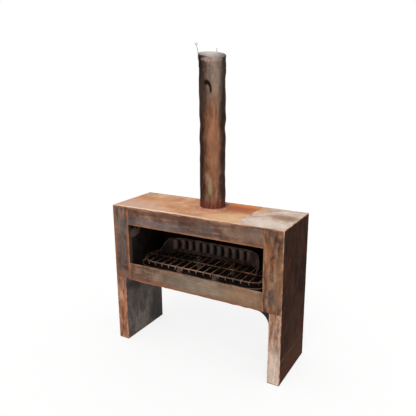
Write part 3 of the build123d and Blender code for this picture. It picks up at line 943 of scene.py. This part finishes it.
def fire_pan():
    """The tray: a floor that dishes a little, walls that wander, and a rolled rim."""
    low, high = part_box("fire_pan")
    middle = (low + high) / 2
    half_l, half_d = (high.x - low.x) / 2, (high.y - low.y) / 2
    outline = rounded_outline(half_l, half_d, PAN_CORNER)
    bm = bmesh.new()

    def wall(inset, foot):
        rings = []
        for z in (foot, *PAN_LEVELS, high.z - low.z - 2 * PAN_ROLL):
            ring = []
            for p in outline:
                q = Vector((p.x * (half_l - inset) / half_l, p.y * (half_d - inset) / half_d, 0))
                give = 1.2 * MM * wobble((q.x, q.y, z), 0.11, 70) * smoothstep(z / 0.03)
                q -= q.normalized() * (abs(give) + max(0.0, PAN_HEEL - z) * 0.6)
                ring.append(bm.verts.new((middle.x + q.x, middle.y + q.y, low.z + z)))
            rings.append(ring)
        return rings

    def floor(ring, z):
        rings = [ring]
        for share in (0.8, 0.5, 0.2):
            inner = []
            for co in (vert.co for vert in ring):
                dish = 0.8 * MM * wobble(co * share, 0.1, 71) if z else 0
                inner.append(bm.verts.new((middle.x + (co.x - middle.x) * share,
                                           middle.y + (co.y - middle.y) * share, low.z + z + dish)))
            rings.append(inner)
        bridge(bm, rings)
        bm.faces.new(rings[-1])

    outer = wall(0.3 * MM, 0.0)
    inner = wall(PAN_SHEET, PAN_SHEET)
    bridge(bm, outer + inner[::-1])
    floor(outer[0], 0.0)
    floor(inner[0], PAN_SHEET)
    settle(make_object("fire_pan_tray", bm, "soot", sharp=60), "fire_pan", "sooted_steel", "fire_pan")

    rim = [p - p.normalized() * PAN_ROLL for p in outline]
    line = [Vector((middle.x + q.x, middle.y + q.y, high.z - PAN_ROLL * 1.05)) for q in rim]
    round_bar("fire_pan_rolled_rim", line, lambda p: PAN_ROLL * (1 + 0.12 * wobble(p, 0.02, 72)), "pan_rim",
              "fire_pan", "sooted_steel", sides=8, closed=True)


# ---- grate --------------------------------------------------------------------------------------
GRATE_GAP = 10 * MM         # between the pan's wall and the frame rod's corner
HOOK_R = 11 * MM
HOOK_SWEEP = math.radians(150)
HOOK_TURNS = 12
TIP_TURNS = 5               # the bar swells, then rounds off, over its last few turns


def islands(node):
    """The separate solids of a CAD node, each as its lowest and highest corner, from left to right."""
    bm = bmesh.new()
    bm.from_mesh(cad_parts[node].data)
    bmesh.ops.remove_doubles(bm, verts=bm.verts, dist=1e-6)
    left = set(bm.verts)
    found = []
    while left:
        stack = [left.pop()]
        group = []
        while stack:
            vert = stack.pop()
            group.append(vert.co.copy())
            for edge in vert.link_edges:
                other = edge.other_vert(vert)
                if other in left:
                    left.remove(other)
                    stack.append(other)
        low, high = (Vector([pick(c[axis] for c in group) for axis in (X, Y, Z)]) for pick in (min, max))
        found.append((low, high))
    bm.free()
    return sorted(found, key=lambda box: (round(box[0].x, 4), round(box[0].y, 4)))


def grate_rods():
    """The frame rod round the edge, and the cross rod under the bars."""
    low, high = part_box("grate_frame")
    rod_r = (high.z - low.z) / 2
    middle = (low + high) / 2
    half_l, half_d = (high.x - low.x) / 2 - rod_r, (high.y - low.y) / 2 - rod_r
    outline = rounded_outline(half_l, half_d, PAN_CORNER - PAN_SHEET - GRATE_GAP, 0.008)
    line = [p + middle for p in outline]
    line = [p + Vector((0, 0, 0.5 * MM * wobble(p, 0.08, 80))) for p in line]
    round_bar("grate_frame_rod", line, lambda p: rod_r * (0.97 + 0.05 * wobble(p, 0.01, 81)), "rod", "grate",
              "grate_rod", "grate_frame", closed=True)
    low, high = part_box("grate_cross_rod")
    centre = (low + high) / 2
    line = resample([(x, centre.y, centre.z) for x in (low.x, high.x)], 0.008)
    line = [p + Vector((0, 0.8 * MM * wobble(p, 0.09, 82), 0)) for p in line]
    round_bar("grate_middle_rod", line, lambda p: rod_r * (0.97 + 0.05 * wobble(p, 0.01, 83)), "rod", "grate",
              "grate_rod", "grate_cross_rod")


def add_bar(bm, low, high, number):
    """One bar inside its CAD box: straight from the back, then curled down round the frame rod."""
    bar_r = (high.x - low.x) / 2
    x = (low.x + high.x) / 2
    z = high.z - bar_r
    front = low.y + bar_r + HOOK_R
    points = resample([(x, high.y, z), (x, front, z)], 0.008)[:-1]
    for i in range(HOOK_TURNS + 1):
        a = HOOK_SWEEP * i / HOOK_TURNS
        points.append(Vector((x, front - HOOK_R * math.sin(a), z - HOOK_R * (1 - math.cos(a)))))

    def near_tip(i, turns):
        return max(0.0, (i - len(points) + turns) / turns)

    bent = []
    splay = 3.0 * MM * wobble((number * 1.7, 0, 0), 1.0, 86)
    for i, p in enumerate(points):
        sway = 0.9 * MM * wobble((number * 0.37, p.y, 0), 0.09, 84)
        sag = -0.35 * MM * (1 + wobble((p.y, number * 0.5, 0), 0.07, 85))
        bent.append(p + Vector((sway + near_tip(i, HOOK_TURNS) * splay, 0, sag)))

    def radius(i):
        tip = near_tip(i, TIP_TURNS)
        uneven = 0.95 + 0.06 * wobble(bent[i], 0.008, 87)
        return bar_r * uneven * (1 + 0.12 * tip - 0.35 * max(0.0, tip - 0.8))

    sweep(bm, bent, radius)


def grate_bars():
    """The hand-bent bars with their curled front ends."""
    bm = bmesh.new()
    for number, (low, high) in enumerate(islands("grate_bars")):
        add_bar(bm, low, high, number)
    settle(make_object("grate_bent_bars", bm, "rod"), "grate", "grate_rod", "grate_bars")


def grate_posts():
    """The posts that the grate stands on, with softened corners."""
    bm = bmesh.new()
    for low, high in islands("grate_feet"):
        block = Matrix.Translation((low + high) / 2) @ Matrix.Diagonal((*(high - low), 1))
        bmesh.ops.create_cube(bm, size=1.0, matrix=block)
    bmesh.ops.bevel(bm, geom=bm.edges[:], offset=2 * MM, segments=3, affect="EDGES")
    long_edges = [edge for edge in bm.edges if edge.calc_length() > 20 * MM]
    bmesh.ops.subdivide_edges(bm, edges=long_edges, cuts=3, use_grid_fill=True)
    for vert in bm.verts:
        vert.co += Vector((1, 1, 0)) * 0.4 * MM * wobble(vert.co, 0.02, 90)
    settle(make_object("grate_posts", bm, "fireback", sharp=50), "grate", "grate_rod", "grate_feet")


# ---- fireback -----------------------------------------------------------------------------------
FIREBACK_SHEET = 4.2 * MM
FIREBACK_BEND = 0.133
FIREBACK_FACE = 5 * MM      # from the outside of the CAD plate to the face that the flutes are pressed into
FLAT_STEPS, BEND_STEPS, HEIGHT_STEPS = 120, 26, 26
FLUTE_PITCH = 0.051
FLUTE_HEIGHT = 0.076
FLUTE_GAP = 5 * MM          # below the upper edge
FLUTE_BOW = 4 * MM
FIRST_FLUTE, LAST_FLUTE = -6, 5
PAD_CROWN = 4.5 * MM
SLOT_DEPTH = 4.0 * MM
ARM_HEIGHT = 0.029
SHOULDER_START = math.radians(46)
SHOULDER_END = math.radians(85)
UPPER_ROLL = 2.0 * MM       # how far the upper edge curls back, over ROLL_HEIGHT
ROLL_HEIGHT = 8 * MM


def flute(along, below_top):
    """How far the plate stands forward, and its painted shading from -1, a painted highlight on a pad's crown, to 1,
    painted shade in a slot: crowned pads between pressed, bowed slots. along is measured round the plate from its
    middle."""
    if not FIRST_FLUTE < along / FLUTE_PITCH < LAST_FLUTE:
        return 0.0, 0.0
    height = (below_top - FLUTE_GAP) / FLUTE_HEIGHT
    bow = math.sin(math.pi * max(0.0, min(1.0, height)))
    phase = (along - FLUTE_BOW * bow) / FLUTE_PITCH % 1.0 - 0.5
    crown = math.cos(math.pi * phase) ** 2
    window = smoothstep(height / 0.16) * smoothstep((1 - height) / 0.22)
    half_width = 0.10 + 0.11 * bow
    between = FIRST_FLUTE + 0.5 < along / FLUTE_PITCH < LAST_FLUTE - 0.5
    groove = math.exp(-((0.5 - abs(phase)) / half_width) ** 4) if between else 0.0
    # painted shade across each pad, darker towards one side
    shade = 0.35 * smoothstep((phase + 0.1) / 0.5) * window
    return window * (PAD_CROWN * crown - SLOT_DEPTH * groove), window * groove + shade - window * crown


def fireback():
    """The wrapped plate, with pressed flutes and a rolled upper edge."""
    low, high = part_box("fireback")
    flat = (high.x - low.x) / 2 - FIREBACK_BEND - FIREBACK_FACE
    face_y = high.y - FIREBACK_FACE
    tall = high.z - low.z
    arc = [math.pi / 2 * i / BEND_STEPS for i in range(1, BEND_STEPS + 1)]
    plan = [(-1, a) for a in reversed(arc)]
    plan += [(0, -flat + 2 * flat * i / FLAT_STEPS) for i in range(FLAT_STEPS + 1)]
    plan += [(1, a) for a in arc]
    bm = bmesh.new()
    rims = []
    painted_shading_values = []

    def station(side, value):
        """Plan point, forward direction, height of the upper edge and distance round the plate: value is X on
        the flat, where side is 0, and the angle round a bend."""
        if side == 0:
            return Vector((value, face_y, 0)), Vector((0, -1, 0)), tall, value
        ahead = Vector((-side * math.sin(value), -math.cos(value), 0))
        point = Vector((side * flat, face_y - FIREBACK_BEND, 0)) - ahead * FIREBACK_BEND
        fall = smoothstep((value - SHOULDER_START) / (SHOULDER_END - SHOULDER_START))
        return point, ahead, tall - (tall - ARM_HEIGHT) * fall, side * (flat + FIREBACK_BEND * value)

    def column(side, value, back):
        point, ahead, top, along = station(side, value)
        verts = []
        for j in range(HEIGHT_STEPS + 1):
            z = top * j / HEIGHT_STEPS
            curl = UPPER_ROLL * smoothstep((z - top + ROLL_HEIGHT) / ROLL_HEIGHT)
            pressed, painted_shading = flute(along, tall - z)
            worked = 0.8 * MM * wobble((along, z, 0), 0.06, 91) * smoothstep(z / 0.02)
            stand = pressed + worked - curl - back * FIREBACK_SHEET
            verts.append(bm.verts.new(point + ahead * stand + Vector((0, 0, low.z + z))))
            rims.append(max(0.0, 1 - (top - z) / (10 * MM)))
            painted_shading_values.append(0.0 if back else painted_shading)
        return verts

    fill_sheet(bm, *([column(*place, back) for place in plan] for back in (0, 1)))
    settle(make_object("fireback_plate", bm, "fireback", rims, painted_shading_values, sharp=55), "grate", "sooted_steel",
           "fireback")


# ---- chimney ------------------------------------------------------------------------------------
SOCKET = 65 * MM            # length of the swollen mouth
SWELL = 1.5 * MM
SWELL_RAMP = 6 * MM
PIPE_WALL = 2.0 * MM
LIP = ((0.0, 1.0 * MM), (0.5 * MM, 0.2 * MM), (1.4 * MM, 0.2 * MM), (PIPE_WALL, 1.0 * MM))   # inward, down
PIPE_SIDES = 128
PIPE_ROWS = 200
LUMP_DEPTH = 4.6 * MM
MOUTH_TILT = 18 * MM        # the mouth is cut off by hand, and stands highest at MOUTH_HIGH
MOUTH_HIGH = math.radians(137)
MOUTH_LIGHT_ANGLE = math.radians(155)    # painted light: the inside of the mouth is painted palest round this angle
PIPE_SEAM = math.radians(95)
WIRE_R = 2.0 * MM
WIRE_STEP = 1.5 * MM

# lip is how sharp the dent's upper right edge is, and how strong the painted shadow under it is; angles in degrees
# round from +X
Dent = namedtuple("Dent", "angle height half_angle half_height depth lip")
DENTS = (
    Dent(-87.0, 0.672, 22.0, 0.050, 8 * MM, 1.0),
    Dent(-114.0, 0.785, 26.0, 0.056, 4.5 * MM, 0.45),
    Dent(-120.0, 0.60, 26.0, 0.060, 3 * MM, 0.0),
    Dent(20.0, 0.46, 24.0, 0.050, 2.5 * MM, 0.0),
    Dent(-150.0, 0.33, 26.0, 0.055, 2.2 * MM, 0.0),
)


def dent_place(dent, angle, z):
    """Where a point lies in a dent, in half sizes: across, up."""
    across = (math.degrees(angle) - dent.angle + 180) % 360 - 180
    return across / dent.half_angle, (z - dent.height) / dent.half_height


def dent_shade(angle, z):
    """Painted shadow under the upper right lip of the sharp dents, where the dent's inner slope turns away from the
    light.
    """
    shade = 0.0
    for dent in DENTS:
        u, v = dent_place(dent, angle, z)
        rho = math.hypot(u, v)
        facing = smoothstep(((u + 1.3 * v) / max(rho, 0.05) / 1.64 + 0.35) / 1.1)
        shade = max(shade, facing * math.exp(-((rho - 0.80) / 0.30) ** 2) * dent.lip)
    return shade


def pipe_radius(angle, z):
    """The dented outside of the chimney: angle round from +X, z up from its foot."""
    base = PIPE_R - SWELL
    r = base + SWELL * smoothstep((z - PIPE_LENGTH + SOCKET + SWELL_RAMP) / SWELL_RAMP)
    fade = smoothstep(z / 0.05) * smoothstep((PIPE_LENGTH - z) / 0.03)
    p = Vector((math.cos(angle), math.sin(angle), 0)) * base + Vector((0, 0, z))
    lumps = 1.0 * wobble(p, 0.078, 101) + 0.4 * wobble(p, 0.045, 102)
    r += fade * (LUMP_DEPTH * lumps - 0.6 * MM)
    for dent in DENTS:
        u, v = dent_place(dent, angle, z)
        steep = 1 + 1.6 * dent.lip * max(0.0, (u + v) / 1.4)
        r -= dent.depth * smoothstep((1.15 - math.hypot(u, v)) * 1.25 * steep)
    return r


def chimney_pipe():
    """The pipe as a rolled, dented tube with its wall and a lip at the tilted mouth."""
    heights = [PIPE_LENGTH * i / PIPE_ROWS for i in range(PIPE_ROWS)]
    bm = bmesh.new()
    rims = []
    painted_shading_values = []

    def ring(inward, z, lift=0.0):
        """Vertices round the pipe, `inward` of its outside."""
        made = []
        near_top = max(0.0, 1 - (PIPE_LENGTH - z) / SOCKET)
        for a in around(PIPE_SIDES):
            r = pipe_radius(a, z) - inward
            nick = 1.8 * MM * wobble((math.cos(a), math.sin(a), 0), 0.5, 103)
            cut = near_top * (MOUTH_TILT * math.cos(a - MOUTH_HIGH) + nick)
            up = PIPE_LOW.z + z + lift + cut
            made.append(bm.verts.new((FLUE.x + r * math.cos(a), FLUE.y + r * math.sin(a), up)))
            # how far in from the mouth the edge colour reaches: 8 mm of worn rim outside, and 50 mm of painted light
            # down the inside
            rim_wear_and_light = 50 * MM if inward == PIPE_WALL else 8 * MM
            rims.append(max(0.0, 1 - (PIPE_LENGTH - z) / rim_wear_and_light))
            # painted shadow under the lips of the dents outside; painted light on the inside of the mouth, palest
            # towards the angle where the light falls in
            painted_shading = 0.0
            if inward == 0.0:
                painted_shading = dent_shade(a, z)
            elif inward == PIPE_WALL:
                painted_shading = -near_top * (0.5 + 0.5 * math.cos(a - MOUTH_LIGHT_ANGLE)) ** 1.4
            painted_shading_values.append(painted_shading)
        return made

    outer = [ring(0.0, z) for z in heights]
    lip = [ring(inward, PIPE_LENGTH, -drop) for inward, drop in LIP]
    inner = [ring(PIPE_WALL, z) for z in reversed(heights)]
    bridge(bm, outer + lip + inner, closed=True)
    tube = make_object("chimney_pipe_tube", bm, "pipe", rims, painted_shading_values)
    settle(tube, "chimney", "corten_pipe", "chimney_pipe")


def chimney_seam():
    """The weld down the back of the pipe."""
    out = Vector((math.cos(PIPE_SEAM), math.sin(PIPE_SEAM), 0))
    heights = [PIPE_LENGTH * i / PIPE_ROWS for i in range(2, PIPE_ROWS - 3)]
    line = [FLUE + out * pipe_radius(PIPE_SEAM, z) + Vector((0, 0, PIPE_LOW.z + z)) for z in heights]
    weld_bead("chimney_seam_weld", [line], (6 * MM, 0.9 * MM), out, "bead_dark", "chimney", "corten_pipe", 17.0)


def collar():
    """The flat ring under the pipe, with an uneven rounded edge and a fillet weld round it."""
    low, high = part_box("flue_collar")
    height = high.z - low.z
    edge = [(5 * MM, 1.0), (2.5 * MM, 0.88), (0.8 * MM, 0.6), (0.0, 0.25), (0.0, 0.0)]
    section = [(SPIGOT_R, 0.0), (SPIGOT_R, height)] + [(COLLAR_R - inward, height * share) for inward, share in edge]
    bm = bmesh.new()
    rims = []
    rings = []
    for a in around(144):
        out = Vector((math.cos(a), math.sin(a), 0))
        ring = []
        for r, z in section:
            point = FLUE + out * r + Vector((0, 0, low.z + z))
            if r > SPIGOT_R:
                point += out * (1.1 * MM * wobble(point, 0.03, 111) - 1.0 * MM)
            ring.append(bm.verts.new(point))
            rims.append(max(0.0, 1 - (COLLAR_R - r) / (8 * MM)))
        rings.append(ring)
    bridge(bm, rings, closed=True)
    obj = make_object("flue_collar_ring", bm, "collar", rims, sharp=50)
    settle(obj, "casing", "collar_red", "flue_collar")
    reach = COLLAR_R - 1 * MM
    circle = [(FLUE.x + reach * math.cos(a), FLUE.y + reach * math.sin(a), TOP_Z) for a in around(120)]
    weld_bead("flue_collar_weld", [circle], (6 * MM, 2.2 * MM), (0, 0, 1), "collar", "casing", "collar_red",
              18.0, closed=True)
    dress("flue_spigot", "soot", 0.4 * MM)


def smooth_path(points):
    """A Catmull-Rom line through a few chosen points."""
    padded = [points[0] * 2 - points[1], *points, points[-1] * 2 - points[-2]]
    out = []
    for a, b, c, d in zip(padded, padded[1:], padded[2:], padded[3:]):
        count = max(2, round((c - b).length / WIRE_STEP))
        for i in range(count):
            t = i / count
            out.append(0.5 * (2 * b + (c - a) * t + (2 * a - 5 * b + 4 * c - d) * t * t
                              + (3 * b - a - 3 * c + d) * t ** 3))
    out.append(points[-1])
    return out


def cap_clip(side, shorter, lean, loop):
    """A bent wire on the outside of the rim; its foot is where the CAD wire's foot is. It stops `shorter` than
    that one, leans out by `lean`, and ends in a loop of this radius if there is one."""
    node = "cap_clip_" + side
    low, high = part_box(node)
    up = Vector((0, 0, 1))
    out = (Vector(((low.x + high.x) / 2, (low.y + high.y) / 2, 0)) - FLUE).normalized()
    foot = FLUE + out * (PIPE_R + WIRE_R - 0.5 * MM) + up * low.z
    rim_z = PIPE_HIGH.z - low.z
    rise = high.z - PIPE_HIGH.z - shorter
    points = [foot, foot + up * rim_z * 0.55, foot + up * (rim_z + 2 * MM),
              foot + up * (rim_z + rise * 0.5) + out * lean * 0.35,
              foot + up * (rim_z + rise - 2 * loop) + out * lean]
    if loop:
        centre = points[-1] + up * loop
        points += [centre - (out * math.sin(a) + up * math.cos(a)) * loop
                   for a in (math.radians(d) for d in (60, 120, 180, 240, 300, 345))]
    round_bar(node + "_wire", smooth_path(points), lambda p: WIRE_R * (0.96 + 0.06 * wobble(p, 0.006, 120)),
              "wire", "chimney", "bright_wire", node, sides=10)


# ---- stage --------------------------------------------------------------------------------------
def shown_to_camera(nodes, light, plain, share):
    """What lights the object like the node `light`, but shows the camera this share of the node `plain`."""
    seen = nodes.node("ShaderNodeLightPath").outputs["Is Camera Ray"]
    mixed = nodes.node("ShaderNodeMixShader")
    for source, target in zip((nodes.times(seen, share), light.outputs[0], plain.outputs[0]), mixed.inputs):
        nodes.link(source, target)
    return mixed.outputs[0]


def floor():
    """A plain pale floor, on which the camera sees only part of the object's soft shadow."""
    bm = bmesh.new()
    bmesh.ops.create_grid(bm, x_segments=4, y_segments=4, size=30)
    obj = bare_object("floor", bm)
    s = Shader("floor_pale", specular=0.1)
    obj.data.materials.append(s.finish((0.86, 0.86, 0.86, 1), 0.9))
    glow = s.node("ShaderNodeEmission")
    s.link(shown_to_camera(s, s.surface, glow, SHADOW_FADE), s.output.inputs["Surface"])


def studio_world():
    """Soft light that is brightest overhead, in front of a plain white surround."""
    world = bpy.data.worlds.new("studio")
    world.use_nodes = True
    nodes = Nodes(world.node_tree)
    height = nodes.node("ShaderNodeSeparateXYZ")
    nodes.link(nodes.node("ShaderNodeTexCoord").outputs["Generated"], height.inputs[0])
    dome = nodes.node("ShaderNodeBackground")
    nodes.link(nodes.between(height.outputs["Z"], 0.0, 1.0, SKY_LOW, SKY_HIGH), dome.inputs["Strength"])
    surround = nodes.tree.nodes["Background"]
    surround.inputs["Color"].default_value = (1, 1, 1, 1)
    world_output = nodes.tree.nodes["World Output"]
    nodes.link(shown_to_camera(nodes, dome, surround, 1.0), world_output.inputs["Surface"])
    bpy.context.scene.world = world


def key_light():
    data = bpy.data.lights.new("key", "SUN")
    data.energy = KEY_STRENGTH
    data.angle = math.radians(KEY_SPREAD)
    data.color = (1.0, 0.98, 0.95)
    light = bpy.data.objects.new("key", data)
    light.rotation_mode = "QUATERNION"
    light.rotation_quaternion = (-KEY_FROM).to_track_quat("-Z", "Y")
    bpy.context.scene.collection.objects.link(light)


def camera():
    yaw, pitch, roll = (math.radians(a) for a in (CAMERA_YAW, CAMERA_PITCH, CAMERA_ROLL))
    forward = Vector((math.sin(yaw) * math.cos(pitch), math.cos(yaw) * math.cos(pitch), math.sin(pitch)))
    right = forward.cross(Vector((0, 0, 1))).normalized()
    up = right.cross(forward)
    right, up = right * math.cos(roll) + up * math.sin(roll), up * math.cos(roll) - right * math.sin(roll)
    data = bpy.data.cameras.new("camera")
    data.sensor_width = 36
    data.lens = CAMERA_LENS
    cam = bpy.data.objects.new("camera", data)
    turn = Matrix((right, up, -forward)).transposed().to_4x4()
    cam.matrix_world = Matrix.Translation(CAMERA_AT) @ turn
    bpy.context.scene.collection.objects.link(cam)
    bpy.context.scene.camera = cam


casing_plates()
for side, name in LEFT_AND_RIGHT:
    leg_liner(side, name)
    corner_web(side, name)
casing_welds()
weld_spatter()
firebox()
fire_pan()
grate_rods()
grate_bars()
grate_posts()
fireback()
chimney_pipe()
chimney_seam()
collar()
cap_clip("left", shorter=4 * MM, lean=9 * MM, loop=5.5 * MM)
cap_clip("back", shorter=0.0, lean=0.0, loop=0.0)

floor()
studio_world()
key_light()
camera()
bpy.context.scene.view_settings.view_transform = "Standard"

bpy.context.view_layer.update()
